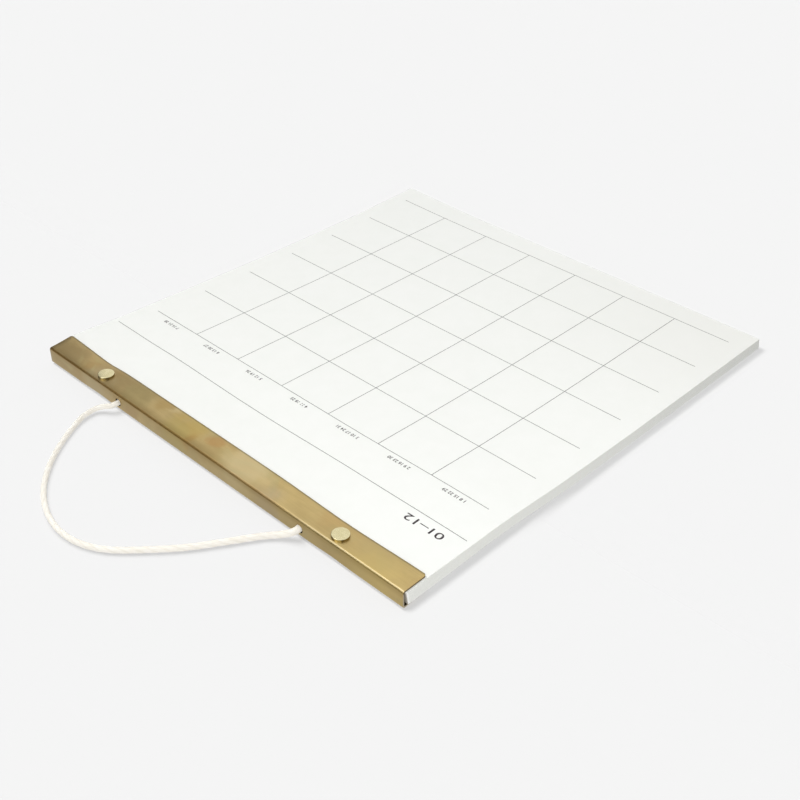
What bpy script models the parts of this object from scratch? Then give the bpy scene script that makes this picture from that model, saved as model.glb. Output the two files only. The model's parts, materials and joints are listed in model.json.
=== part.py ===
"""Hanging wall calendar: a pad of ruled month sheets clamped in a folded brass bar.

Two binding screws go through bar and pad. A cotton cord leaves the bar through two holes, with a
knot inside the bar at each end. The calendar lies face up: +X is the reader's right, +Y is towards
the bar, +Z comes out of the printed face. Units are metres.
"""
import math

import bmesh
import bpy
from mathutils import Matrix, Vector

# Shared clearances
GAP = 0.0003                 # air between pieces that touch
OVERRUN = 0.002              # how far a cutter reaches past what it cuts
WELD_DISTANCE = 0.00001      # joins the loose caps of a filled curve

# Paper pad
PAD_WIDTH = 0.305
PAD_LENGTH = 0.322
PAD_THICKNESS = 0.0074
PAD_SLANT = 0.0013           # the bottom sheet has slid this far away from the bar
SAG_REACH = 0.185            # length over which the pad droops from the bar to the surface
SAG_STEPS = 20

# Print on the top sheet
COLUMNS = 7
ROWS = 6
PRINT_SIDE_MARGIN = 0.0111   # from the sheet's sides to the first and last column
PRINT_FOOT_MARGIN = 0.0167   # from the sheet's free edge to the lowest rule
RULE_WIDTH = 0.0003
HEADER_RULE_DROP = 0.0737    # from the glued edge to the rule above the first row
MONTH_RULE_RISE = 0.0261     # from that rule up to the rule under the month
MONTH_RULE_MARGIN = 0.004    # from the sheet's sides to that rule's ends
PRINT_SHIFT = 0.0009         # the print sits a little to the right of centre

# Folded brass bar
BAR_END_INSET = 0.001        # the pad stands this far past each end of the bar
FLANGE_DEPTH = 0.0165
SHEET_THICKNESS = 0.001
INNER_BEND_RADIUS = 0.0005   # inside of each fold
BEND_STEPS = 6
CORNER_RADIUS = 0.003        # free corners of both flanges
CORNER_STEPS = 6
EDGE_BREAK = 0.00015         # filed edge all round the sheet

# Binding screws
SCREW_END_INSET = 0.0503     # from the bar's end to each screw's axis
SCREW_INSET = 0.0071         # from the outside of the web to each screw's axis
HEAD_RADIUS = 0.0049
HEAD_THICKNESS = 0.0015
HEAD_ROUNDING = 0.0003
HEAD_ROUNDING_STEPS = 3
BARREL_WALL = 0.0006
SHANK_RADIUS = 0.0016
SHANK_ENGAGEMENT = 0.006     # length of the shank inside the barrel
SLOT_WIDTH = 0.0012
SLOT_DEPTH = 0.0008
TURNING_STEPS = 40

# Hanging cord
CORD_DIAMETER = 0.0035
CORD_STEP = 0.0036           # distance between the tube's rings
CORD_HOLE_CLEARANCE = 0.00075
CORD_HOLE_INSET = 0.0221     # from each screw's axis inwards to the cord's hole
CORD_HOLE_HEIGHT_SHARE = 0.45    # of the bar's height, from its underside
KNOT_WIDTH = 0.0085
KNOT_DEPTH = 0.007
KNOT_COLLAR = 0.0004         # where the cord comes out of the knot
KNOT_STEPS = 9
NOTCH_CLEARANCE = 0.0005     # round the knot, in the half-moon punched in the glued edge

# Route of the cord from the left hole to the right one, laid on the surface as it fell
CORD_ROUTE = [
    (-0.0791, 0.1613, 0.0063), (-0.0791, 0.1631, 0.0063), (-0.0784, 0.1663, 0.0060),
    (-0.0761, 0.1692, 0.0051), (-0.0717, 0.1724, 0.0038), (-0.0655, 0.1778, 0.0023),
    (-0.0551, 0.1917, 0.0018), (-0.0433, 0.2095, 0.0018), (-0.0294, 0.2254, 0.0018),
    (-0.0187, 0.2360, 0.0018), (-0.0093, 0.2420, 0.0018), (0.0014, 0.2456, 0.0018),
    (0.0131, 0.2464, 0.0018), (0.0252, 0.2444, 0.0018), (0.0373, 0.2398, 0.0018),
    (0.0490, 0.2328, 0.0018), (0.0602, 0.2233, 0.0018), (0.0700, 0.2124, 0.0018),
    (0.0787, 0.2002, 0.0018), (0.0854, 0.1882, 0.0021), (0.0879, 0.1808, 0.0031),
    (0.0872, 0.1745, 0.0046), (0.0841, 0.1707, 0.0055), (0.0802, 0.1672, 0.0061),
    (0.0791, 0.1632, 0.0063), (0.0791, 0.1613, 0.0063),
]

# Sizes and places that follow from those
COLUMN_WIDTH = (PAD_WIDTH - 2 * PRINT_SIDE_MARGIN) / COLUMNS
ROW_HEIGHT = (PAD_LENGTH - HEADER_RULE_DROP - PRINT_FOOT_MARGIN) / ROWS
BAR_LENGTH = PAD_WIDTH - 2 * BAR_END_INSET
BAR_HEIGHT = PAD_THICKNESS + 2 * (SHEET_THICKNESS + GAP)
BEND_RADIUS = INNER_BEND_RADIUS + SHEET_THICKNESS
BEND_MID_RADIUS = INNER_BEND_RADIUS + SHEET_THICKNESS / 2
BEND_ARC = BEND_MID_RADIUS * math.pi / 2
FLANGE_FLAT = FLANGE_DEPTH - BEND_RADIUS
WEB_FLAT = BAR_HEIGHT - 2 * BEND_RADIUS
SCREW_X = BAR_LENGTH / 2 - SCREW_END_INSET
BARREL_RADIUS = SHANK_RADIUS + GAP + BARREL_WALL
CORD_HOLE_X = SCREW_X - CORD_HOLE_INSET
CORD_HOLE_RADIUS = CORD_DIAMETER / 2 + CORD_HOLE_CLEARANCE
NOTCH_RADIUS = KNOT_DEPTH + NOTCH_CLEARANCE
WEB_Y = (SHEET_THICKNESS + GAP + PAD_LENGTH + PAD_SLANT) / 2
SPINE_Y = WEB_Y - SHEET_THICKNESS - GAP
FLANGE_EDGE_Y = WEB_Y - FLANGE_DEPTH
SCREW_Y = WEB_Y - SCREW_INSET
BAR_BOTTOM_Z = HEAD_THICKNESS + GAP
BAR_TOP_Z = BAR_BOTTOM_Z + BAR_HEIGHT
PAD_LIFT = BAR_BOTTOM_Z + SHEET_THICKNESS + GAP
HEADER_RULE_Y = SPINE_Y - HEADER_RULE_DROP
CORD_HOLE_HEIGHT = CORD_HOLE_HEIGHT_SHARE * BAR_HEIGHT
CORD_HOLE_Z = BAR_BOTTOM_Z + CORD_HOLE_HEIGHT
KNOT_HEIGHT = 2 * (CORD_HOLE_HEIGHT - SHEET_THICKNESS - GAP)
SIDES = {"left": -1, "right": 1}


def clear_scene():
    for obj in list(bpy.data.objects):
        bpy.data.objects.remove(obj, do_unlink=True)


def new_collection(name):
    collection = bpy.data.collections.new(name)
    bpy.context.scene.collection.children.link(collection)
    return collection


def new_material(name, color, roughness, metallic=0):
    material = bpy.data.materials.new(name)
    material.use_nodes = True
    material.diffuse_color = (*color, 1)
    shader = material.node_tree.nodes["Principled BSDF"]
    shader.inputs["Base Color"].default_value = (*color, 1)
    shader.inputs["Roughness"].default_value = roughness
    shader.inputs["Metallic"].default_value = metallic
    return material


def add_object(name, data, collection, *materials):
    obj = bpy.data.objects.new(name, data)
    collection.objects.link(obj)
    for material in materials:
        data.materials.append(material)
    return obj


def mesh_from(bm, name):
    mesh = bpy.data.meshes.new(name)
    bm.to_mesh(mesh)
    bm.free()
    return mesh


def mesh_from_curve(curve_object):
    """Turns a curve object into a welded mesh in world space, and removes the curve."""
    graph = bpy.context.evaluated_depsgraph_get()
    mesh = bpy.data.meshes.new_from_object(curve_object.evaluated_get(graph))
    bm = bmesh.new()
    bm.from_mesh(mesh)
    bmesh.ops.remove_doubles(bm, verts=bm.verts, dist=WELD_DISTANCE)
    bm.transform(curve_object.matrix_world)
    bmesh.ops.recalc_face_normals(bm, faces=bm.faces)
    bm.to_mesh(mesh)
    bm.free()
    bpy.data.objects.remove(curve_object, do_unlink=True)
    return mesh


def cut(target, cutter):
    modifier = target.modifiers.new(f"cut {cutter.name}", "BOOLEAN")
    modifier.operation = "DIFFERENCE"
    modifier.solver = "EXACT"
    modifier.object = cutter


def as_cutter(obj):
    obj.hide_render = True
    obj.display_type = "WIRE"
    return obj


def cylinder_cutter(name, radius, start, end, collection):
    """A round cutter from start to end, longer than that by the overrun at each end."""
    start, end = Vector(start), Vector(end)
    length = (end - start).length + 2 * OVERRUN
    bm = bmesh.new()
    bmesh.ops.create_cone(
        bm, cap_ends=True, segments=TURNING_STEPS, radius1=radius, radius2=radius, depth=length
    )
    turn = (end - start).to_track_quat("Z", "Y").to_matrix().to_4x4()
    bm.transform(Matrix.Translation((start + end) / 2) @ turn)
    return as_cutter(add_object(name, mesh_from(bm, name), collection))


def settle(obj):
    """Makes the modifiers' result the object's own mesh, smooth except along its real edges."""
    graph = bpy.context.evaluated_depsgraph_get()
    mesh = bpy.data.meshes.new_from_object(obj.evaluated_get(graph))
    obj.modifiers.clear()
    obj.data = mesh
    mesh.shade_smooth()
    mesh.set_sharp_from_angle(angle=math.radians(30))


def pad_drop(y):
    """Height of the pad's underside: clamped level in the bar, drooping smoothly to the surface."""
    share = min(max((FLANGE_EDGE_Y - y) / SAG_REACH, 0), 1)
    return PAD_LIFT * (1 - 3 * share**2 + 2 * share**3)


def pad_outline():
    """Side view of the pad as (y, z) points, round from the top of the glued edge."""
    droop = [FLANGE_EDGE_Y - SAG_REACH * step / SAG_STEPS for step in range(SAG_STEPS + 1)]
    far_y = SPINE_Y - PAD_LENGTH
    top = [(y, pad_drop(y) + PAD_THICKNESS) for y in [SPINE_Y, *droop, far_y]]
    bottom_stations = [SPINE_Y - PAD_SLANT, *droop, far_y - PAD_SLANT]
    bottom = [(y, pad_drop(y)) for y in bottom_stations]
    return top + bottom[::-1]


def extruded_pad_mesh():
    curve = bpy.data.curves.new("paper_pad", "CURVE")
    curve.dimensions = "2D"
    curve.fill_mode = "BOTH"
    curve.extrude = PAD_WIDTH / 2
    outline = pad_outline()
    spline = curve.splines.new("POLY")
    spline.points.add(len(outline) - 1)
    spline.use_cyclic_u = True
    for point, (y, z) in zip(spline.points, outline):
        point.co = (y, z, 0, 1)
    curve_object = bpy.data.objects.new("paper_pad_outline", curve)
    bpy.context.scene.collection.objects.link(curve_object)
    # The outline is drawn in the curve's XY plane and stands in the world's YZ plane
    curve_object.matrix_world = Matrix(((0, 0, 1, 0), (1, 0, 0, 0), (0, 1, 0, 0), (0, 0, 0, 1)))
    bpy.context.view_layer.update()
    return mesh_from_curve(curve_object)


def printed_rules():
    """Each printed rule as a rectangle (x from, x to, y from, y to) on the top sheet."""
    half_line = RULE_WIDTH / 2
    half_grid = COLUMNS * COLUMN_WIDTH / 2
    row_rules = [HEADER_RULE_Y - row * ROW_HEIGHT for row in range(ROWS + 1)]
    rules = []
    for y in row_rules:
        rules.append((PRINT_SHIFT - half_grid, PRINT_SHIFT + half_grid, y - half_line, y + half_line))
    for column in range(1, COLUMNS):
        x = PRINT_SHIFT - half_grid + column * COLUMN_WIDTH
        rules.append((x - half_line, x + half_line, row_rules[-1], row_rules[0]))
    month_y = HEADER_RULE_Y + MONTH_RULE_RISE
    half_month = PAD_WIDTH / 2 - MONTH_RULE_MARGIN
    rules.append((-half_month, half_month, month_y - half_line, month_y + half_line))
    return rules


def top_faces(bm):
    return [face for face in bm.faces if face.normal.z > 0.5]


def slice_faces(bm, faces, place, normal):
    """Cuts the given faces along a plane."""
    parts = set(faces)
    for face in faces:
        parts.update(face.edges)
        parts.update(face.verts)
    bmesh.ops.bisect_plane(
        bm, geom=list(parts), dist=WELD_DISTANCE / 10, plane_co=place, plane_no=normal
    )


def print_rules(mesh):
    """Divides the top sheet along the printed rules and gives them the ink material."""
    bm = bmesh.new()
    bm.from_mesh(mesh)
    bm.normal_update()
    rules = printed_rules()
    for y in sorted({edge for rule in rules for edge in rule[2:]}):
        slice_faces(bm, top_faces(bm), (0, y, 0), (0, 1, 0))
    low_y = min(rule[2] for rule in rules)
    high_y = max(rule[3] for rule in rules)
    for x in sorted({edge for rule in rules for edge in rule[:2]}):
        ruled = [face for face in top_faces(bm) if low_y < face.calc_center_median().y < high_y]
        slice_faces(bm, ruled, (x, 0, 0), (1, 0, 0))
    for face in top_faces(bm):
        centre = face.calc_center_median()
        if any(r[0] < centre.x < r[1] and r[2] < centre.y < r[3] for r in rules):
            face.material_index = 1
    bm.to_mesh(mesh)
    bm.free()


def make_pad(parts, cutters, paper, ink):
    mesh = extruded_pad_mesh()
    pad = add_object("paper_pad", mesh, parts, paper, ink)
    print_rules(mesh)
    top_z = PAD_LIFT + PAD_THICKNESS
    for side, sign in SIDES.items():
        screw_x = sign * SCREW_X
        hole = cylinder_cutter(
            f"pad_hole_cutter_{side}", BARREL_RADIUS + GAP,
            (screw_x, SCREW_Y, PAD_LIFT), (screw_x, SCREW_Y, top_z), cutters,
        )
        cut(pad, hole)
        knot_x = sign * CORD_HOLE_X
        notch = cylinder_cutter(
            f"notch_cutter_{side}", NOTCH_RADIUS,
            (knot_x, SPINE_Y, PAD_LIFT), (knot_x, SPINE_Y, top_z), cutters,
        )
        cut(pad, notch)
    return pad


def fold_point(distance):
    """Where a point of the flat blank lands in (y, z) once folded, measured along its mid-plane.

    The distance runs from the lower flange's free edge, up the web, to the upper flange's edge.
    """
    radius = BEND_MID_RADIUS
    fold_y = WEB_Y - BEND_RADIUS
    low_z = BAR_BOTTOM_Z + BEND_RADIUS
    high_z = BAR_TOP_Z - BEND_RADIUS
    if distance <= FLANGE_FLAT:
        return FLANGE_EDGE_Y + distance, low_z - radius
    distance -= FLANGE_FLAT
    if distance <= BEND_ARC:
        angle = distance / radius
        return fold_y + radius * math.sin(angle), low_z - radius * math.cos(angle)
    distance -= BEND_ARC
    if distance <= WEB_FLAT:
        return fold_y + radius, low_z + distance
    distance -= WEB_FLAT
    if distance <= BEND_ARC:
        angle = distance / radius
        return fold_y + radius * math.cos(angle), high_z + radius * math.sin(angle)
    return fold_y - (distance - BEND_ARC), high_z + radius


def make_bar(parts, cutters, brass):
    """Cuts a blank with rounded corners, folds it twice, gives it thickness and drills it."""
    blank_depth = 2 * FLANGE_FLAT + 2 * BEND_ARC + WEB_FLAT
    bm = bmesh.new()
    bmesh.ops.create_grid(bm, x_segments=1, y_segments=1, size=0.5)
    bmesh.ops.scale(bm, verts=bm.verts, vec=(BAR_LENGTH, blank_depth, 1))
    bmesh.ops.translate(bm, verts=bm.verts, vec=(0, blank_depth / 2, 0))
    bmesh.ops.bevel(
        bm, geom=bm.verts, offset=CORNER_RADIUS, segments=CORNER_STEPS, profile=0.5,
        affect="VERTICES", offset_type="OFFSET",
    )
    for fold_start in (FLANGE_FLAT, FLANGE_FLAT + BEND_ARC + WEB_FLAT):
        for step in range(BEND_STEPS + 1):
            station = fold_start + BEND_ARC * step / BEND_STEPS
            slice_faces(bm, bm.faces[:], (0, station, 0), (0, 1, 0))
    for vert in bm.verts:
        vert.co.y, vert.co.z = fold_point(vert.co.y)
    bmesh.ops.recalc_face_normals(bm, faces=bm.faces)
    bar = add_object("header_bar", mesh_from(bm, "header_bar"), parts, brass)
    shell = bar.modifiers.new("sheet thickness", "SOLIDIFY")
    shell.thickness = SHEET_THICKNESS
    shell.offset = 0
    shell.use_even_offset = True
    edge = bar.modifiers.new("filed edge", "BEVEL")
    edge.width = EDGE_BREAK
    edge.segments = 1
    edge.limit_method = "ANGLE"
    edge.angle_limit = math.radians(60)
    settle(bar)
    for side, sign in SIDES.items():
        screw_x = sign * SCREW_X
        screw_hole = cylinder_cutter(
            f"screw_hole_cutter_{side}", BARREL_RADIUS + GAP,
            (screw_x, SCREW_Y, BAR_BOTTOM_Z), (screw_x, SCREW_Y, BAR_TOP_Z), cutters,
        )
        cut(bar, screw_hole)
        cord_x = sign * CORD_HOLE_X
        cord_hole = cylinder_cutter(
            f"cord_hole_cutter_{side}", CORD_HOLE_RADIUS,
            (cord_x, WEB_Y - SHEET_THICKNESS, CORD_HOLE_Z), (cord_x, WEB_Y, CORD_HOLE_Z), cutters,
        )
        cut(bar, cord_hole)
    return bar


def turned_object(name, profile, place, parts, material):
    """Revolves (radius, height) points, listed from the top down, round a vertical axis."""
    bm = bmesh.new()
    verts = [bm.verts.new((radius, 0, height)) for radius, height in profile]
    for above, below in zip(verts, verts[1:]):
        bm.edges.new((above, below))
    obj = add_object(name, mesh_from(bm, name), parts, material)
    obj.location = place
    screw = obj.modifiers.new("turned", "SCREW")
    screw.axis = "Z"
    screw.steps = TURNING_STEPS
    screw.render_steps = TURNING_STEPS
    screw.use_merge_vertices = True
    screw.merge_threshold = WELD_DISTANCE
    settle(obj)
    return obj


def rounded_rim(top_z):
    """The head's outer edge from its flat top down to its rim."""
    points = []
    for step in range(HEAD_ROUNDING_STEPS + 1):
        angle = math.pi / 2 * (1 - step / HEAD_ROUNDING_STEPS)
        points.append((
            HEAD_RADIUS - HEAD_ROUNDING + HEAD_ROUNDING * math.cos(angle),
            top_z - HEAD_ROUNDING + HEAD_ROUNDING * math.sin(angle),
        ))
    return points


def make_post(side, sign, parts, brass):
    """Female half of a binding screw: a flat disc head on a hollow barrel."""
    seat_z = BAR_TOP_Z + GAP
    top_z = seat_z + HEAD_THICKNESS
    shank_top_z = HEAD_THICKNESS + SHANK_ENGAGEMENT
    bore_radius = SHANK_RADIUS + GAP
    profile = [
        (0, top_z), *rounded_rim(top_z),
        (HEAD_RADIUS, seat_z), (BARREL_RADIUS, seat_z),
        (BARREL_RADIUS, BAR_BOTTOM_Z), (bore_radius, BAR_BOTTOM_Z),
        (bore_radius, shank_top_z + GAP), (0, shank_top_z + GAP + bore_radius),
    ]
    place = (sign * SCREW_X, SCREW_Y, 0)
    return turned_object(f"screw_post_{side}", profile, place, parts, brass)


def make_screw(side, sign, parts, cutters, brass):
    """Male half of a binding screw, put in from the back: a slotted disc head and its shank."""
    shank_top_z = HEAD_THICKNESS + SHANK_ENGAGEMENT
    rim = [(radius, -height) for radius, height in reversed(rounded_rim(0))]
    profile = [
        (0, shank_top_z), (SHANK_RADIUS - GAP, shank_top_z), (SHANK_RADIUS, shank_top_z - GAP),
        (SHANK_RADIUS, HEAD_THICKNESS), (HEAD_RADIUS, HEAD_THICKNESS), *rim, (0, 0),
    ]
    place = (sign * SCREW_X, SCREW_Y, 0)
    screw = turned_object(f"binding_screw_{side}", profile, place, parts, brass)
    bm = bmesh.new()
    bmesh.ops.create_cube(bm, size=1)
    slot_height = SLOT_DEPTH + OVERRUN
    bmesh.ops.scale(bm, verts=bm.verts, vec=(2 * (HEAD_RADIUS + OVERRUN), SLOT_WIDTH, slot_height))
    bmesh.ops.translate(bm, verts=bm.verts, vec=(0, 0, SLOT_DEPTH - slot_height / 2))
    name = f"slot_cutter_{side}"
    slot = as_cutter(add_object(name, mesh_from(bm, name), cutters))
    slot.location = place
    cut(screw, slot)
    return screw


def smooth_route(points, spacing):
    """Points along a Catmull-Rom curve through the given points, evenly spaced."""
    points = [Vector(point) for point in points]
    ends = [2 * points[0] - points[1], *points, 2 * points[-1] - points[-2]]
    samples = 24
    dense = []
    for before, start, end, after in zip(ends, ends[1:], ends[2:], ends[3:]):
        for step in range(samples):
            share = step / samples
            dense.append(0.5 * (
                2 * start + (end - before) * share
                + (2 * before - 5 * start + 4 * end - after) * share**2
                + (3 * start - before - 3 * end + after) * share**3
            ))
    dense.append(points[-1])
    reached = [0]
    for one, other in zip(dense, dense[1:]):
        reached.append(reached[-1] + (other - one).length)
    count = round(reached[-1] / spacing)
    route = []
    index = 0
    for step in range(count + 1):
        wanted = reached[-1] * step / count
        while index < len(dense) - 2 and reached[index + 1] < wanted:
            index += 1
        share = (wanted - reached[index]) / (reached[index + 1] - reached[index])
        route.append(dense[index].lerp(dense[index + 1], share))
    return route


def make_cord(parts, cotton):
    route = smooth_route(CORD_ROUTE, CORD_STEP)
    curve = bpy.data.curves.new("hang_cord", "CURVE")
    curve.dimensions = "3D"
    curve.bevel_depth = CORD_DIAMETER / 2
    curve.bevel_resolution = 2
    curve.use_fill_caps = True
    spline = curve.splines.new("POLY")
    spline.points.add(len(route) - 1)
    for point, place in zip(spline.points, route):
        point.co = (*place, 1)
    return add_object("hang_cord", curve, parts, cotton)


def make_knot(side, sign, parts, cotton):
    """Outer form of the knot behind the web, with the stub of cord that meets the hole."""
    stub_radius = CORD_DIAMETER / 2
    face_y = WEB_Y - SHEET_THICKNESS - GAP
    belly_radius = KNOT_WIDTH / 2
    half_depth = (KNOT_DEPTH - KNOT_COLLAR) / 2
    start_angle = math.asin(stub_radius / belly_radius)
    profile = [(0, 0), (stub_radius, 0)]
    for step in range(KNOT_STEPS + 1):
        angle = start_angle + (math.pi - start_angle) * step / KNOT_STEPS
        radius = belly_radius * math.sin(angle) if step < KNOT_STEPS else 0
        depth = KNOT_COLLAR + half_depth * (math.cos(start_angle) - math.cos(angle))
        profile.append((radius, -depth))
    knot = turned_object(f"cord_knot_{side}", profile, (0, 0, 0), parts, cotton)
    squash = Matrix.Diagonal((1, KNOT_HEIGHT / KNOT_WIDTH, 1, 1))
    # The knot's axis points out of the web, and its flatter side faces up
    turn = Matrix(((-1, 0, 0), (0, 0, 1), (0, 1, 0))).to_4x4()
    place = Matrix.Translation((sign * CORD_HOLE_X, face_y, CORD_HOLE_Z))
    knot.matrix_world = place @ turn @ squash
    return knot


def build():
    clear_scene()
    parts = new_collection("wall_calendar")
    cutters = new_collection("cutters")
    paper = new_material("paper", (0.87, 0.87, 0.84), 0.85)
    ink = new_material("printed_rules", (0.16, 0.16, 0.15), 0.7)
    satin_brass = new_material("satin_brass", (0.48, 0.36, 0.17), 0.38, 1)
    bright_brass = new_material("bright_brass", (0.76, 0.65, 0.38), 0.2, 1)
    cotton = new_material("cotton", (0.86, 0.81, 0.70), 0.9)

    make_pad(parts, cutters, paper, ink)
    make_bar(parts, cutters, satin_brass)
    for side, sign in SIDES.items():
        make_post(side, sign, parts, bright_brass)
        make_screw(side, sign, parts, cutters, bright_brass)
        make_knot(side, sign, parts, cotton)
    make_cord(parts, cotton)


build()
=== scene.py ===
import json
import math
import bmesh
import bpy
from mathutils import Matrix, Vector
from mathutils.bvhtree import BVHTree

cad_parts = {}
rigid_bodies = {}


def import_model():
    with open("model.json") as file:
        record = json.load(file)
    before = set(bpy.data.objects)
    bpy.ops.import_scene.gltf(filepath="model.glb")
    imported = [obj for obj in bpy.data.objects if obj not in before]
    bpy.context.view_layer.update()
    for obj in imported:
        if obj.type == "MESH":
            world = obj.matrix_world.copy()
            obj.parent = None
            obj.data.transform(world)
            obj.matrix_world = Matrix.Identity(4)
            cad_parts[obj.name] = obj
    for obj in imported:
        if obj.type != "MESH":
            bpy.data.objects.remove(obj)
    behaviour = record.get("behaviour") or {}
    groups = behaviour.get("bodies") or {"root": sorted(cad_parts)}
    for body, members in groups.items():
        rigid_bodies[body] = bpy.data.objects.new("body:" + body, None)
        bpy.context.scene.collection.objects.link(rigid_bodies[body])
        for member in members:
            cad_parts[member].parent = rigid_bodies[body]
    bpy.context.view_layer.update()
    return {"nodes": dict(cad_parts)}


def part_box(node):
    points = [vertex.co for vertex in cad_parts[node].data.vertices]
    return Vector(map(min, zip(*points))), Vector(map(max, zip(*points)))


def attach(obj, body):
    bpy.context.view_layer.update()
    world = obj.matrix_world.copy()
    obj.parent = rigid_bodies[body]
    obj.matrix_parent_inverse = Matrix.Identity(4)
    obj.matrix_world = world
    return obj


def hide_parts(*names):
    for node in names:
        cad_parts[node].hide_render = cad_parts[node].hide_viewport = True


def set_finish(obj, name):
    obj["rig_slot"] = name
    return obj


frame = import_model()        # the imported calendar, in metres, lying face up with its bar towards +Y
mm = 0.001
print("calendar loaded:", ", ".join(sorted(frame["nodes"])))

padLow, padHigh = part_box("paper_pad")
barLow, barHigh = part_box("header_bar")
headLow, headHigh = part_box("screw_post_right")
screwX = (headLow.x + headHigh.x) / 2    # the other screw is as far on the -X side
screwY = (headLow.y + headHigh.y) / 2


class Link:    # a node's output, so that shader and geometry maths reads as plain sums
    def __init__(self, tree, socket):
        self.tree = tree
        self.socket = socket

    def maths(self, operation, *values):
        node = self.tree.nodes.new("ShaderNodeMath")
        node.operation = operation
        for socket, value in zip(node.inputs, values):
            plug(self.tree, socket, value)
        return Link(self.tree, node.outputs[0])

    def apply(self, operation, *others):    # any operation that has no sign, with this value first
        return self.maths(operation, self, *others)

    def __add__(self, other):
        return self.maths("ADD", self, other)

    def __radd__(self, other):
        return self.maths("ADD", other, self)

    def __sub__(self, other):
        return self.maths("SUBTRACT", self, other)

    def __rsub__(self, other):
        return self.maths("SUBTRACT", other, self)

    def __mul__(self, other):
        return self.maths("MULTIPLY", self, other)

    def __rmul__(self, other):
        return self.maths("MULTIPLY", other, self)

    def __truediv__(self, other):
        return self.maths("DIVIDE", self, other)

    def __pow__(self, other):
        return self.maths("POWER", self, other)

    def __abs__(self):
        return self.maths("ABSOLUTE", self)

    def other(self, name):    # another output of the same node
        return Link(self.tree, self.socket.node.outputs[name])


def plug(tree, socket, value):
    if isinstance(value, Link):
        tree.links.new(value.socket, socket)
    else:
        socket.default_value = value


class Graph:    # a node tree, built up one node at a time
    def __init__(self, tree):
        self.tree = tree

    def add(self, kind, settings=None, inputs=None, out=0):
        node = self.tree.nodes.new(kind)
        for name, value in (settings or {}).items():
            setattr(node, name, value)
        for name, value in (inputs or {}).items():
            plug(self.tree, node.inputs[name], value)
        return Link(self.tree, node.outputs[out])

    def coords(self, scale=(1, 1, 1)):    # object coordinates, stretched for grain that runs one way
        place = self.add("ShaderNodeTexCoord", out="Object")
        return self.add("ShaderNodeMapping", inputs={"Vector": place, "Scale": scale})

    def noise(self, vector, scale, detail=2.0, roughness=0.5):
        return self.add(
            "ShaderNodeTexNoise",
            inputs={"Vector": vector, "Scale": scale, "Detail": detail, "Roughness": roughness},
        )

    def split(self, vector):    # its x, y and z
        x = self.add("ShaderNodeSeparateXYZ", inputs={"Vector": vector})
        return x, x.other("Y"), x.other("Z")

    def vector(self, x=0, y=0, z=0):
        return self.add("ShaderNodeCombineXYZ", inputs={"X": x, "Y": y, "Z": z})

    def normal(self):    # for a material
        return self.add("ShaderNodeNewGeometry", out="Normal")

    def blend(self, factor, first, second):    # mixes two colours, each a link or red, green, blue
        first, second = [color if isinstance(color, Link) else (*color, 1) for color in (first, second)]
        return self.add("ShaderNodeMix", {"data_type": "RGBA"}, {0: factor, 6: first, 7: second}, out=2)

    def ramp(self, value, low, high):    # 0 below low, 1 above high, smooth between
        return self.add(
            "ShaderNodeMapRange", {"interpolation_type": "SMOOTHSTEP"},
            {"Value": value, "From Min": low, "From Max": high},
        )


def newFinish(name, **plainValues):    # a material whose unchanging values sit on the shader itself
    material = bpy.data.materials.new(name)
    material.use_nodes = True
    shader = material.node_tree.nodes["Principled BSDF"]
    for socketName, value in plainValues.items():
        shader.inputs[socketName.replace("_", " ")].default_value = value
    return material, Graph(material.node_tree), shader


def wire(graph, shader, **links):
    for socketName, link in links.items():
        plug(graph.tree, shader.inputs[socketName.replace("_", " ")], link)


def bumped(graph, height, strength, distance, below=None):
    inputs = {"Height": height, "Strength": strength, "Distance": distance}
    if below:
        inputs["Normal"] = below
    return graph.add("ShaderNodeBump", inputs=inputs)


def newObject(name, data, material=None):
    obj = bpy.data.objects.new(name, data)
    bpy.context.scene.collection.objects.link(obj)
    if material:
        data.materials.append(material)
    return obj


def bakeDown(obj):    # turns the object and its modifiers into one plain mesh at the origin
    bpy.context.view_layer.update()
    graph = bpy.context.evaluated_depsgraph_get()
    mesh = bpy.data.meshes.new_from_object(obj.evaluated_get(graph))
    mesh.transform(obj.matrix_world)
    name = obj.name
    bpy.data.objects.remove(obj, do_unlink=True)
    return newObject(name, mesh)


def smoothBy(obj, degrees):
    obj.data.shade_smooth()
    obj.data.set_sharp_from_angle(angle=math.radians(degrees))


def finishPiece(piece, slotName, *nodes):
    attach(piece, "root")
    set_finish(piece, slotName)
    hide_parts(*nodes)
    triangles = sum(len(face.vertices) - 2 for face in piece.data.polygons)
    print(f"{piece.name}: {triangles} triangles, stands for {', '.join(nodes) or 'print'}")


def nodeGroup(name, sockets):    # an empty geometry tree with named inputs
    tree = bpy.data.node_groups.new(name, "GeometryNodeTree")
    tree.interface.new_socket("Geometry", in_out="INPUT", socket_type="NodeSocketGeometry")
    for socketName, kind in sockets.items():
        tree.interface.new_socket(socketName, in_out="INPUT", socket_type=f"NodeSocket{kind}")
    tree.interface.new_socket("Geometry", in_out="OUTPUT", socket_type="NodeSocketGeometry")
    source = tree.nodes.new("NodeGroupInput")
    given = {socket.name: Link(tree, socket) for socket in source.outputs if socket.name}
    return tree, Graph(tree), given


def endGroup(graph, geometry, material):    # every tree ends as one mesh that has its material
    real = graph.add("GeometryNodeRealizeInstances", inputs={"Geometry": geometry})
    real = graph.add("GeometryNodeSetMaterial", inputs={"Geometry": real, "Material": material})
    target = graph.tree.nodes.new("NodeGroupOutput")
    plug(graph.tree, target.inputs[0], real)


def runGroup(obj, tree, values):    # inputs are set by identifier before the first evaluation
    modifier = obj.modifiers.new(tree.name, "NODES")
    modifier.node_group = tree
    for item in tree.interface.items_tree:
        if item.in_out == "INPUT" and item.name in values:
            modifier[item.identifier] = values[item.name]


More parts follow.
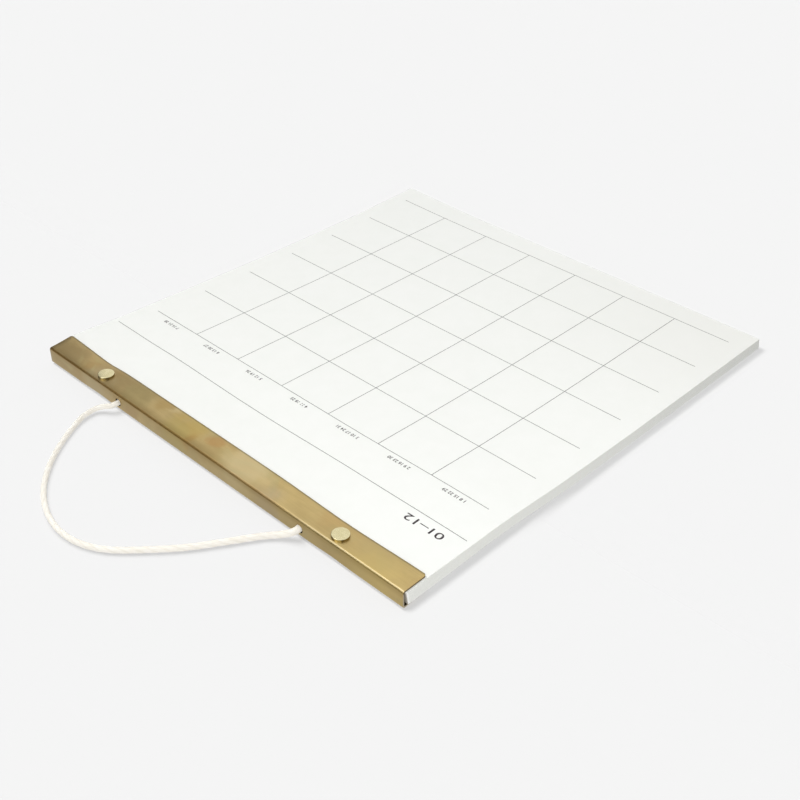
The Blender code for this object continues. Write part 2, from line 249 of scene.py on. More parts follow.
# Camera, at the photo's own angle
camera = {
    "place": (-434.3 * mm, 458.5 * mm, 415.1 * mm),
    "aim": (-29.5 * mm, 38.7 * mm, 0),
    "roll": 0.375,     # degrees
    "lens": 54.0,
    "sensor": 36,
}


def placeCamera(settings):
    data = bpy.data.cameras.new("camera")
    data.lens = settings["lens"]
    data.sensor_width = settings["sensor"]
    data.clip_start = 10 * mm
    obj = newObject("camera", data)
    place = Vector(settings["place"])
    turn = (Vector(settings["aim"]) - place).to_track_quat("-Z", "Y").to_matrix().to_4x4()
    roll = Matrix.Rotation(math.radians(settings["roll"]), 4, "Z")
    obj.matrix_world = Matrix.Translation(place) @ turn @ roll
    bpy.context.scene.camera = obj
    print("camera set")


placeCamera(camera)

# Hanging cord: out of the left hole, round and into the right one, on about the solid cord's points
cord = {
    "diameter": 3.5 * mm,
    "startSize": 1.25,        # share of that diameter at the first hole, where the twist is looser
    "endSize": 0.88,          # the same at the second hole, before the flare is added
    "endFlare": 0.12,
    "startTaper": 2.5,        # powers: a higher one makes the thick part shorter
    "flareTaper": 8,
    "hole": (79.1 * mm, 6.0 * mm),    # how far each hole is from the middle, and its height
    "holeShift": 1.3 * mm,            # both are drilled a little towards +X
    "step": 0.5 * mm,         # distance between rings along the rope
    "lay": 21 * mm,           # one full turn of the strands
    "strands": 3,
    "strandOffset": 0.13,     # share of the radius from the rope's axis to a strand's
    "yarns": 22,
    "yarnLay": 90 * mm,       # the yarns run almost straight, against the strands
    "yarnDepth": 0.035,       # share of the radius
    "ringPoints": 72,
    "fibres": 700,
    "fibreRun": 260 * mm,     # length of cord that these are for
    "fibreLength": 0.9 * mm,
    "fibreRadius": 0.011 * mm,
    "seed": 5,
    "tones": {
        "cream": (0.905, 0.865, 0.775),
        "pale": (0.95, 0.92, 0.85),
        # painted shade in the grooves between the strands
        "groove": (0.77, 0.71, 0.60),
        "lint": (0.98, 0.97, 0.93),
    },
}
cordRoute = [    # in metres
    (-0.0774, 0.1613, 0.0056), (-0.0772, 0.1631, 0.0051), (-0.0756, 0.1651, 0.0039),
    (-0.0731, 0.1675, 0.0027), (-0.0694, 0.1710, 0.0020), (-0.0643, 0.1772, 0.0018),
    (-0.0551, 0.1917, 0.0018), (-0.0433, 0.2095, 0.0018), (-0.0294, 0.2254, 0.0018),
    (-0.0187, 0.2360, 0.0018), (-0.0093, 0.2420, 0.0018), (0.0014, 0.2456, 0.0018),
    (0.0131, 0.2464, 0.0018), (0.0252, 0.2444, 0.0018), (0.0373, 0.2398, 0.0018),
    (0.0490, 0.2328, 0.0018), (0.0602, 0.2233, 0.0018), (0.0700, 0.2124, 0.0018),
    (0.0787, 0.2002, 0.0018), (0.0856, 0.1881, 0.0019), (0.0883, 0.1804, 0.0025),
    (0.0886, 0.1733, 0.0028), (0.0864, 0.1695, 0.0036), (0.0826, 0.1662, 0.0045),
    (0.0811, 0.1632, 0.0052), (0.0809, 0.1613, 0.0054),
]


def smoothLine(points, samples=16):    # a Catmull-Rom curve through the points
    points = [Vector(point) for point in points]
    ends = [2 * points[0] - points[1], *points, 2 * points[-1] - points[-2]]
    line = []
    for before, start, end, after in zip(ends, ends[1:], ends[2:], ends[3:]):
        for step in range(samples):
            share = step / samples
            line.append(0.5 * (
                2 * start + (end - before) * share
                + (2 * before - 5 * start + 4 * end - after) * share**2
                + (3 * start - before - 3 * end + after) * share**3
            ))
    return line + [points[-1]]


def lineLength(line):
    return sum((other - one).length for one, other in zip(line, line[1:]))


def cottonFinish():
    material, graph, shader = newFinish(
        "twistedCotton", Sheen_Weight=0.35, Sheen_Roughness=0.5, Specular_IOR_Level=0.25
    )
    tones = cord["tones"]
    place = graph.coords()
    cloud = graph.ramp(graph.noise(place, 240, 3), 0.3, 0.7)
    color = graph.blend(cloud, tones["cream"], tones["pale"])
    # The grooves between the strands are painted darker: painted shade
    groove = graph.add("ShaderNodeAttribute", {"attribute_name": "groove"}, out="Fac")
    color = graph.blend(graph.ramp(groove, 0.4, 1) * 0.3, color, tones["groove"])
    lint = graph.noise(place, 5200, 3, 0.7)
    color = graph.blend(graph.ramp(lint, 0.56, 0.75) * 0.4, color, tones["lint"])
    wire(
        graph, shader, Base_Color=color, Roughness=0.82 + lint * 0.15,
        Normal=bumped(graph, lint, 0.5, 0.06 * mm),
    )
    return material


def ropeGroup():
    tree, graph, given = nodeGroup("twistRope", {
        "Diameter": "Float", "Step": "Float", "Lay": "Float", "Strands": "Int",
        "Strand Offset": "Float", "Yarns": "Int", "Yarn Lay": "Float", "Yarn Depth": "Float",
        "Ring Points": "Int", "Fibres": "Float", "Fibre Length": "Float", "Fibre Radius": "Float",
        "Seed": "Int", "Material": "Material",
    })
    full = 2 * math.pi

    def keep(geometry, name, value):    # an attribute that goes along into the mesh
        return graph.add(
            "GeometryNodeStoreNamedAttribute", {"data_type": "FLOAT", "domain": "POINT"},
            {"Geometry": geometry, "Name": name, "Value": value},
        )

    def read(name):
        return graph.add("GeometryNodeInputNamedAttribute", {"data_type": "FLOAT"}, {"Name": name})

    radius = given["Diameter"] * 0.5
    path = graph.add(
        "GeometryNodeResampleCurve", {"mode": "LENGTH"},
        {"Curve": given["Geometry"], "Length": given["Step"]},
    )
    path = keep(path, "along", graph.add("GeometryNodeSplineParameter", out="Length"))
    path = keep(path, "thick", graph.add("GeometryNodeInputRadius"))
    ring = graph.add(
        "GeometryNodeCurvePrimitiveCircle",
        inputs={"Resolution": given["Ring Points"], "Radius": radius},
    )
    ring = keep(ring, "around", graph.add("GeometryNodeInputIndex") / given["Ring Points"])
    body = graph.add("GeometryNodeCurveToMesh", inputs={
        "Curve": path, "Profile Curve": ring, "Scale": graph.add("GeometryNodeInputRadius"),
        "Fill Caps": True,
    })
    # Round strands that lie partly inside each other leave shallow grooves that wind along
    turns = (read("around") - read("along") / given["Lay"]) * given["Strands"]
    lobe = (turns.apply("FRACT") - 0.5) * full / given["Strands"]
    offset = given["Strand Offset"]
    inside = (1 - offset) ** 2 - (offset * lobe.apply("SINE")) ** 2
    radial = offset * lobe.apply("COSINE") + inside ** 0.5
    yarn = (read("around") + read("along") / given["Yarn Lay"]) * given["Yarns"] * full
    ridge = 1 - (0.5 - yarn.apply("COSINE") * 0.5) * given["Yarn Depth"]
    shift = (radial * ridge - 1) * radius * read("thick")
    normal = graph.add("GeometryNodeInputNormal")
    inward = graph.add("ShaderNodeVectorMath", {"operation": "SCALE"}, {0: normal, "Scale": shift})
    body = graph.add("GeometryNodeSetPosition", inputs={"Geometry": body, "Offset": inward})
    # Where each point lies in a groove, for the material's painted shade there
    body = keep(body, "groove", abs(lobe) * given["Strands"] / math.pi)
    # Loose fibres stand off the upper side of the rope, each a thin three-sided hair
    upper = graph.split(normal)[2].apply("GREATER_THAN", 0.1)
    scatter = graph.add(
        "GeometryNodeDistributePointsOnFaces", {"distribute_method": "RANDOM"},
        {"Mesh": body, "Selection": upper, "Density": given["Fibres"], "Seed": given["Seed"]},
    )
    hairLine = graph.add(
        "GeometryNodeCurvePrimitiveLine", {"mode": "DIRECTION"},
        {"Direction": (0, 0, 1), "Length": given["Fibre Length"]},
    )
    hairRing = graph.add(
        "GeometryNodeCurvePrimitiveCircle", inputs={"Resolution": 3, "Radius": given["Fibre Radius"]}
    )
    hair = graph.add(
        "GeometryNodeCurveToMesh",
        inputs={"Curve": hairLine, "Profile Curve": hairRing, "Fill Caps": True},
    )
    lean = graph.add(
        "FunctionNodeRandomValue", {"data_type": "FLOAT_VECTOR"},
        {0: (0.9, -0.6, 0), 1: (1.4, 0.6, full), "Seed": given["Seed"]},
    )
    size = graph.add(
        "FunctionNodeRandomValue", {"data_type": "FLOAT"},
        {2: 0.3, 3: 1.0, "Seed": given["Seed"]}, out=1,
    )
    hairs = graph.add("GeometryNodeInstanceOnPoints", inputs={
        "Points": scatter, "Instance": hair, "Rotation": scatter.other("Rotation"), "Scale": size,
    })
    hairs = graph.add("GeometryNodeRotateInstances", inputs={"Instances": hairs, "Rotation": lean})
    joined = graph.add("GeometryNodeJoinGeometry")
    plug(tree, joined.socket.node.inputs[0], hairs)
    plug(tree, joined.socket.node.inputs[0], body)
    endGroup(graph, joined, given["Material"])
    return tree


def ropeValues(material):
    return {
        "Diameter": cord["diameter"], "Step": cord["step"], "Lay": cord["lay"],
        "Strands": cord["strands"], "Strand Offset": cord["strandOffset"], "Yarns": cord["yarns"],
        "Yarn Lay": cord["yarnLay"], "Yarn Depth": cord["yarnDepth"],
        "Ring Points": cord["ringPoints"], "Seed": cord["seed"], "Material": material,
        "Fibres": cord["fibres"] / (math.pi * cord["diameter"] / 2 * cord["fibreRun"]),
        "Fibre Length": cord["fibreLength"], "Fibre Radius": cord["fibreRadius"],
    }


def makeRope(name, line, sizes, closed, tree, values):
    curve = bpy.data.curves.new(name, "CURVE")
    curve.dimensions = "3D"
    spline = curve.splines.new("POLY")
    spline.points.add(len(line) - 1)
    spline.use_cyclic_u = closed
    for point, place, size in zip(spline.points, line, sizes):
        point.co = (*place, 1)
        point.radius = size
    obj = newObject(name, curve)
    runGroup(obj, tree, values)
    rope = bakeDown(obj)
    smoothBy(rope, degrees=70)
    return rope


def restingCord():    # the line and its sizes: where the cord is thinner, its middle lies lower
    line = smoothLine(cordRoute)
    sizes = []
    for index, place in enumerate(line):
        share = 1 - index / (len(line) - 1)
        size = cord["endSize"] + (cord["startSize"] - cord["endSize"]) * share ** cord["startTaper"]
        size += cord["endFlare"] * (1 - share) ** cord["flareTaper"]
        place.z += (size - 1) * cord["diameter"] / 2
        sizes.append(size)
    return line, sizes


cottonMaterial = cottonFinish()
ropeTree = ropeGroup()
cordLine, cordSizes = restingCord()
hangCord = makeRope("hangCord", cordLine, cordSizes, False, ropeTree, ropeValues(cottonMaterial))

# Stopper knots behind the bar's back wall, one at each end of the cord
knot = {
    "rope": 2.3 * mm,    # the cotton is pulled tight here
    "lay": 0.6,          # share of the cord's
    "points": 90,
    "ringPoints": 36,
}


def knotLine(side):    # an overhand knot's crossing loop, fitted to the room that the solid takes
    low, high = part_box(f"cord_knot_{side}")
    middle = (low + high) / 2
    room = (high - low) / 2 - Vector((1, 1, 1)) * knot["rope"] / 2
    widest, highest = 2.65, 3    # the peaks of the two sums below
    line = []
    for step in range(knot["points"]):
        turn = 2 * math.pi * step / knot["points"]
        line.append(middle + Vector((
            room.x * (math.sin(turn) + 2 * math.sin(2 * turn)) / widest,
            room.y * math.sin(3 * turn),
            room.z * (math.cos(turn) - 2 * math.cos(2 * turn)) / highest,
        )))
    return line


knots = []
for side in ("left", "right"):
    values = ropeValues(cottonMaterial)
    values.update({
        "Diameter": knot["rope"], "Lay": cord["lay"] * knot["lay"], "Fibres": 0.0,
        "Ring Points": knot["ringPoints"],
    })
    line = knotLine(side)
    knots.append(makeRope(f"{side}Knot", line, [1] * len(line), True, ropeTree, values))
    finishPiece(knots[-1], "cotton", f"cord_knot_{side}")
finishPiece(hangCord, "cotton", "hang_cord")
lineLength(cordLine)
print(f"cord laid: {lineLength(cordLine) / mm:.0f} mm")

# The clamp: screws and springy paper bend the bar's upper flange, and the sheets follow it
clamp = {
    "sheet": 1.0 * mm,               # thickness of the brass
    "insideBend": 0.5 * mm,
    "swell": 0.6 * mm,               # between the screws the paper pushes the flange up
    "pinches": (                     # at each screw: place along the bar, reach, depth
        (-97 * mm, 36 * mm, 1.6 * mm),
        (112 * mm, 13 * mm, 1.3 * mm),
    ),
    "endFrom": 128 * mm,             # from here to the +X end the flange stands open
    "endRise": 1.0 * mm,
    "bow": 1.3,                      # power of the flange's curve, from the fold to its free edge
    "fade": 45 * mm,                 # the sheets lie even again this far in front of the bar
}


def easeIn(value):
    value = min(max(value, 0), 1)
    return value * value * (3 - 2 * value)


def clampLift(x, y):    # how far the flange, or the top sheet, is off its level
    lift = clamp["swell"]
    for place, reach, depth in clamp["pinches"]:
        lift -= depth * math.exp(-((x - place) / reach) ** 2)
    lift += clamp["endRise"] * easeIn((x - clamp["endFrom"]) / (barHigh.x - clamp["endFrom"]))
    foldY = barHigh.y - clamp["sheet"] - clamp["insideBend"]
    if y > barLow.y:
        return lift * max((foldY - y) / (foldY - barLow.y), 0) ** clamp["bow"]
    return lift * (1 - easeIn((barLow.y - y) / clamp["fade"]))


# Paper pad: a stack of separate sheets that droops out of the bar
pad = {
    "thickness": 7.4 * mm,
    "slant": 1.3 * mm,         # the lowest sheet has slid this far from the bar
    "reach": 185 * mm,         # length of the droop in front of the bar
    "sheets": 44,
    "air": 0.006 * mm,         # between one sheet and the next
    "scatter": 0.04 * mm,      # how far each sheet is out of line
    "squeeze": 0.27 * mm,      # the clamped sheets fill the channel, half of their room above
    "cornerLift": 2.0 * mm,    # the free corner on the +X side curls up
    "cornerReach": 75 * mm,
    "cornerCurve": 1.5,        # powers: of the curl along the sheet, and down through the stack
    "cornerFade": 1.6,
    # Where the whole pad stands higher or lower than an even droop: middle, half size, height
    "waves": (
        ((-130 * mm, 90 * mm), (100 * mm, 50 * mm), 1.3 * mm),
        ((12 * mm, 119 * mm), (88 * mm, 30 * mm), -1.8 * mm),
    ),
    "columns": (-152.45, -143, -133, -122, -112, -103, -95, -87, -78, -66, -50, -30, -10, 10, 30,
                50, 66, 76, 84, 91, 98, 105, 112, 119, 126, 135, 144, 152.45),    # in mm, along X
    "clampedRows": 3,
    "droopRows": 20,
    "flatRows": 5,
    "screwHole": 2.6 * mm,     # radius
    "screwHoleSides": 24,
    "notch": 7.5 * mm,
    "notchSides": 40,
    "punchReach": 1 * mm,      # of the cutters, above and below a sheet
    "seed": 11,
    "tones": {
        "sheet": ((0.860, 0.870, 0.836), (0.873, 0.881, 0.850)),
        "fibre": (0.83, 0.834, 0.80),
        # painted shade on the -X free corner
        "farCornerShade": (0.795, 0.795, 0.755),
        "cutEdge": ((0.80, 0.805, 0.76), (0.88, 0.885, 0.85)),
        # The next two are painted: shade on the side away from the bar, and a highlight beside the glued
        # edge
        "sideShadeTone": (0.60, 0.605, 0.58),
        "spineEdgeHighlight": (0.97, 0.97, 0.95),
        # painted shade on the spine's face in the gap under the bar
        "spineGapShade": (0.46, 0.42, 0.36),
    },
}
pad["lift"] = padHigh.z - pad["thickness"]
pad["pitch"] = pad["thickness"] / pad["sheets"]


def padRise(x, y, share):    # how far a point of the pad stands above the level it would lie at
    rise = pad["lift"] * (1 - easeIn((barLow.y - y) / pad["reach"]))
    nearSide = min(max(1 - (padHigh.x - x) / pad["cornerReach"], 0), 1)
    nearFoot = min(max(1 - (y - padLow.y) / pad["cornerReach"], 0), 1)
    curl = (nearSide * nearFoot) ** pad["cornerCurve"] * share ** pad["cornerFade"]
    clamped = 1 - easeIn((barLow.y - y) / clamp["fade"])
    squeeze = pad["squeeze"] * clamped * (2 * share - 1)
    for middle, size, height in pad["waves"]:
        away = math.hypot((x - middle[0]) / size[0], (y - middle[1]) / size[1])
        rise += height * easeIn(1 - away)
    return rise + pad["cornerLift"] * curl + clampLift(x, y) * share + squeeze


def paperFinish():
    material, graph, shader = newFinish("uncoatedPaper", Specular_IOR_Level=0.3)
    tones = pad["tones"]
    place = graph.coords()
    x, y, z = graph.split(place)
    facingY, facingZ = graph.split(graph.normal())[1:]
    cloud = graph.ramp(graph.noise(place, 90, 4, 0.6), 0.3, 0.7)
    fibre = graph.noise(place, 3800, 3, 0.65)
    color = graph.blend(cloud, *tones["sheet"])
    color = graph.blend(graph.ramp(fibre, 0.45, 0.8) * 0.25, color, tones["fibre"])
    # The free corner on the -X side is painted a little greyer: painted shade
    farCornerShade = (1 - graph.ramp(y, -170 * mm, 0)) * (1 - graph.ramp(x, -150 * mm, 60 * mm))
    color = graph.blend(farCornerShade * 0.6, color, tones["farCornerShade"])
    # Cut edges are greyer still, and no two sheets are quite alike
    cutEdge = 1 - graph.ramp(abs(facingZ), 0.3, 0.7)
    edgeColor = graph.blend(graph.noise(graph.coords((14, 14, 5200)), 1, 2), *tones["cutEdge"])
    # The side is painted darker away from the bar and lighter beside the glued edge: painted shade and a
    # painted highlight
    sideShade = (1 - graph.ramp(y, -240 * mm, 150 * mm)) * 0.7
    edgeColor = graph.blend(sideShade, edgeColor, tones["sideShadeTone"])
    slid = (padHigh.z - z) * (pad["slant"] / pad["thickness"]) + y
    spineEdgeHighlight = graph.ramp(slid, padHigh.y - 1.5 * mm, padHigh.y - 1.0 * mm)
    edgeColor = graph.blend(spineEdgeHighlight, edgeColor, tones["spineEdgeHighlight"])
    color = graph.blend(cutEdge, color, edgeColor)
    # The spine's face in the gap under the bar is painted dark: painted shade
    glued = graph.ramp(facingY, 0.6, 0.9) * graph.ramp(y, 150 * mm, 155 * mm)
    color = graph.blend(glued, color, tones["spineGapShade"])
    wire(
        graph, shader, Base_Color=color, Roughness=0.78 + fibre * 0.14,
        Normal=bumped(graph, fibre, 0.2, 0.05 * mm),
    )
    return material


def stackGroup():
    tree, graph, given = nodeGroup("stackSheets", {
        "Sheets": "Int", "Pitch": "Float", "Slide": "Float", "Scatter": "Float", "Seed": "Int",
        "Material": "Material",
    })
    step = graph.vector(y=given["Slide"], z=given["Pitch"])
    line = graph.add(
        "GeometryNodeMeshLine", {"mode": "OFFSET"}, {"Count": given["Sheets"], "Offset": step}
    )
    sheets = graph.add(
        "GeometryNodeInstanceOnPoints", inputs={"Points": line, "Instance": given["Geometry"]}
    )
    low = graph.vector(given["Scatter"] * -1, given["Scatter"] * -1)
    high = graph.vector(given["Scatter"], given["Scatter"])
    shift = graph.add(
        "FunctionNodeRandomValue", {"data_type": "FLOAT_VECTOR"}, {0: low, 1: high, "Seed": given["Seed"]}
    )
    sheets = graph.add(
        "GeometryNodeTranslateInstances", inputs={"Instances": sheets, "Translation": shift}
    )
    endGroup(graph, sheets, given["Material"])
    return tree


def roundCutter(name, radius, start, end, sides=64):
    start, end = Vector(start), Vector(end)
    bm = bmesh.new()
    bmesh.ops.create_cone(
        bm, cap_ends=True, segments=sides, radius1=radius, radius2=radius,
        depth=(end - start).length,
    )
    turn = (end - start).to_track_quat("Z", "Y").to_matrix().to_4x4()
    bm.transform(Matrix.Translation((start + end) / 2) @ turn)
    return newObject(name, meshFrom(bm, name))


def meshFrom(bm, name):
    mesh = bpy.data.meshes.new(name)
    bm.to_mesh(mesh)
    bm.free()
    return mesh


def cutAway(obj, cutters):    # cuts with every cutter and removes them
    for cutter in cutters:
        modifier = obj.modifiers.new(cutter.name, "BOOLEAN")
        modifier.operation = "DIFFERENCE"
        modifier.solver = "EXACT"
        modifier.object = cutter
    result = bakeDown(obj)
    for cutter in cutters:
        bpy.data.objects.remove(cutter, do_unlink=True)
    return result


def flatSheet():    # the lowest sheet, flat, with its screw holes and the notches for the knots
    glued = padHigh.y - pad["slant"]
    rows = [glued + (barLow.y - glued) * step / pad["clampedRows"] for step in range(pad["clampedRows"])]
    rows += [barLow.y - pad["reach"] * step / pad["droopRows"] for step in range(pad["droopRows"] + 1)]
    flatStart = rows[-1]
    flatStep = (padLow.y - flatStart) / pad["flatRows"]
    rows += [flatStart + flatStep * (step + 1) for step in range(pad["flatRows"])]
    columns = [x * mm for x in pad["columns"]]
    bm = bmesh.new()
    grid = [[bm.verts.new((x, y, 0)) for x in columns] for y in rows]
    for upper, lower in zip(grid, grid[1:]):
        for column in range(len(columns) - 1):
            bm.faces.new((lower[column], lower[column + 1], upper[column + 1], upper[column]))
    sheet = newObject("sheetStack", meshFrom(bm, "sheetStack"))
    shell = sheet.modifiers.new("paper", "SOLIDIFY")
    shell.thickness = pad["pitch"] - pad["air"]
    shell.offset = 1
    sheet = bakeDown(sheet)
    cutters = []
    reach = pad["punchReach"]
    for sign in (-1, 1):
        for name, (x, y), sides in (
            ("screwHole", (sign * screwX, screwY), pad["screwHoleSides"]),
            ("notch", (sign * cord["hole"][0], padHigh.y), pad["notchSides"]),
        ):
            cutters.append(roundCutter(f"{name}{sign}", pad[name], (x, y, -reach), (x, y, reach), sides))
    return cutAway(sheet, cutters)


def makeStack(material):
    sheet = flatSheet()
    runGroup(sheet, stackGroup(), {
        "Sheets": pad["sheets"], "Pitch": pad["pitch"], "Slide": pad["slant"] / (pad["sheets"] - 1),
        "Scatter": pad["scatter"], "Seed": pad["seed"], "Material": material,
    })
    stack = bakeDown(sheet)
    for vert in stack.data.vertices:
        share = min(max(vert.co.z / pad["thickness"], 0), 1)
        vert.co.z += padRise(vert.co.x, vert.co.y, share)
    bm = bmesh.new()
    bm.from_mesh(stack.data)
    bmesh.ops.triangulate(bm, faces=bm.faces)
    bm.to_mesh(stack.data)
    bm.free()
    smoothBy(stack, degrees=35)
    return stack


paperMaterial = paperFinish()
sheetStack = makeStack(paperMaterial)
finishPiece(sheetStack, "paper", "paper_pad")
topSheet = BVHTree.FromPolygons(
    [vert.co for vert in sheetStack.data.vertices],
    [face.vertices for face in sheetStack.data.polygons],
)

# Print on the top sheet: the rules, and plain numbers where a calendar has its words
printed = {
    "columns": 7,
    "rows": 6,
    "sideMargin": 11.1 * mm,
    "footMargin": 16.7 * mm,
    "headerDrop": 73.7 * mm,       # from the glued edge to the rule over the first row
    "monthRise": 26.1 * mm,        # from there up to the rule under the month's place
    "monthMargin": 4 * mm,
    "shift": 0.9 * mm,
    "rule": 0.34 * mm,
    "film": 0.016 * mm,            # thickness of the ink
    "proud": 0.008 * mm,           # its underside is this far above the sheet
    "stations": 430,               # points along a rule
    "ruleInk": (0.065, 0.065, 0.06),
    "figureInk": (0.045, 0.036, 0.038),
    "figureHeight": 0.72,          # share of the font's size that its figures stand high
    "figureSteps": 6,
    "columnDigits": 2.3 * mm,      # height of the small figures
    "columnBase": 3.2 * mm,        # above the header rule
    "columnStroke": 0.014,         # thickens the figures' strokes
    "monthDigits": 4.9 * mm,
    "monthStroke": 0.008,
    "monthWidth": 26.3 * mm,
    "monthStart": 13.9 * mm,       # from the sheet's left side
    "monthBase": 118.0 * mm,
}


def ruleGroup():    # one strip for each rule, on a line of points
    tree, graph, given = nodeGroup("ruleLines", {
        "Count": "Int", "Spacing": "Vector", "Length": "Float", "Width": "Float", "Stations": "Int",
        "Start": "Vector", "Lengthwise": "Bool", "Material": "Material",
    })
    line = graph.add(
        "GeometryNodeMeshLine", {"mode": "OFFSET"},
        {"Count": given["Count"], "Offset": given["Spacing"], "Start Location": given["Start"]},
    )
    strip = graph.add("GeometryNodeMeshGrid", inputs={
        "Size X": given["Length"], "Size Y": given["Width"], "Vertices X": given["Stations"],
        "Vertices Y": 2,
    })
    turn = graph.vector(z=given["Lengthwise"] * (math.pi / 2))
    strips = graph.add(
        "GeometryNodeInstanceOnPoints", inputs={"Points": line, "Instance": strip, "Rotation": turn}
    )
    endGroup(graph, strips, given["Material"])
    return tree


def inkFinish(name, ink):
    material, graph, shader = newFinish(name, Specular_IOR_Level=0.3)
    spread = graph.noise(graph.coords(), 2600, 3, 0.7)
    thin = [channel * 1.5 for channel in ink]
    color = graph.blend(graph.ramp(spread, 0.35, 0.75), ink, thin)
    wire(graph, shader, Base_Color=color, Roughness=0.62 + spread * 0.2)
    return material


def layPrint(obj):    # lays flat print on the drooping top sheet and gives it the ink's thickness
    for vert in obj.data.vertices:
        under = topSheet.ray_cast(Vector((vert.co.x, vert.co.y, 1)), Vector((0, 0, -1)))[0]
        vert.co = under + Vector((0, 0, printed["proud"]))
    film = obj.modifiers.new("ink", "SOLIDIFY")
    film.thickness = printed["film"]
    film.offset = 1
    return bakeDown(obj)


def makeRules(material):
    tree = ruleGroup()
    width = padHigh.x - padLow.x
    gridWidth = width - 2 * printed["sideMargin"]
    headerY = padHigh.y - printed["headerDrop"]
    columnWidth = gridWidth / printed["columns"]
    gridHeight = headerY - padLow.y - pad["slant"] - printed["footMargin"]
    rowHeight = gridHeight / printed["rows"]
    shift = printed["shift"]
    runs = {
        "rowRules": (
            printed["rows"] + 1, (0, -rowHeight, 0), gridWidth, (shift, headerY, 0), False),
        "columnRules": (
            printed["columns"] - 1, (columnWidth, 0, 0), gridHeight,
            (shift - gridWidth / 2 + columnWidth, headerY - gridHeight / 2, 0), True),
        "monthRule": (
            1, (0, 0, 0), width - 2 * printed["monthMargin"],
            (0, headerY + printed["monthRise"], 0), False),
    }
    made = []
    for name, (count, spacing, length, start, lengthwise) in runs.items():
        obj = newObject(name, bpy.data.meshes.new(name))
        runGroup(obj, tree, {
            "Count": count, "Spacing": spacing, "Length": length, "Width": printed["rule"],
            "Stations": printed["stations"], "Start": start, "Lengthwise": lengthwise,
            "Material": material,
        })
        made.append(layPrint(bakeDown(obj)))
    return joinPieces("printedRules", made), headerY, columnWidth


def joinPieces(name, objects):
    bm = bmesh.new()
    for obj in objects:
        bm.from_mesh(obj.data)
    mesh = meshFrom(bm, name)
    for material in objects[0].data.materials:
        mesh.materials.append(material)
    for obj in objects:
        bpy.data.objects.remove(obj, do_unlink=True)
    return newObject(name, mesh)


def setFigures(name, body, height, stroke, place, width, material):    # centred, or set to a width
    text = bpy.data.curves.new(name, "FONT")
    text.body = body
    text.align_x = "CENTER"
    text.size = height / printed["figureHeight"]
    text.offset = stroke * text.size
    text.resolution_u = printed["figureSteps"]
    obj = bakeDown(newObject(name, text, material))
    if width:
        xs = [vert.co.x for vert in obj.data.vertices]
        obj.data.transform(Matrix.Diagonal((width / (max(xs) - min(xs)), 1, 1, 1)))
    obj.data.transform(Matrix.Translation(place))
    return layPrint(obj)


def makeFigures(material, headerY, columnWidth):
    made = []
    firstX = printed["shift"] - columnWidth * (printed["columns"] - 1) / 2
    for column in range(printed["columns"]):
        body = " ".join(str(day) for day in range(column + 1, 32, printed["columns"]))
        place = (firstX + column * columnWidth, headerY + printed["columnBase"], 0)
        made.append(setFigures(
            f"figures{column}", body, printed["columnDigits"], printed["columnStroke"], place, None,
            material,
        ))
    monthX = padLow.x + printed["monthStart"] + printed["monthWidth"] / 2
    made.append(setFigures(
        "monthFigures", "01–12", printed["monthDigits"], printed["monthStroke"],
        (monthX, printed["monthBase"], 0), printed["monthWidth"], material,
    ))
    return joinPieces("printedFigures", made)


ruleMaterial = inkFinish("greyRuleInk", printed["ruleInk"])
figureMaterial = inkFinish("warmBlackInk", printed["figureInk"])
printedRules, headerY, columnWidth = makeRules(ruleMaterial)
finishPiece(printedRules, "paper")
printedFigures = makeFigures(figureMaterial, headerY, columnWidth)
finishPiece(printedFigures, "paper")

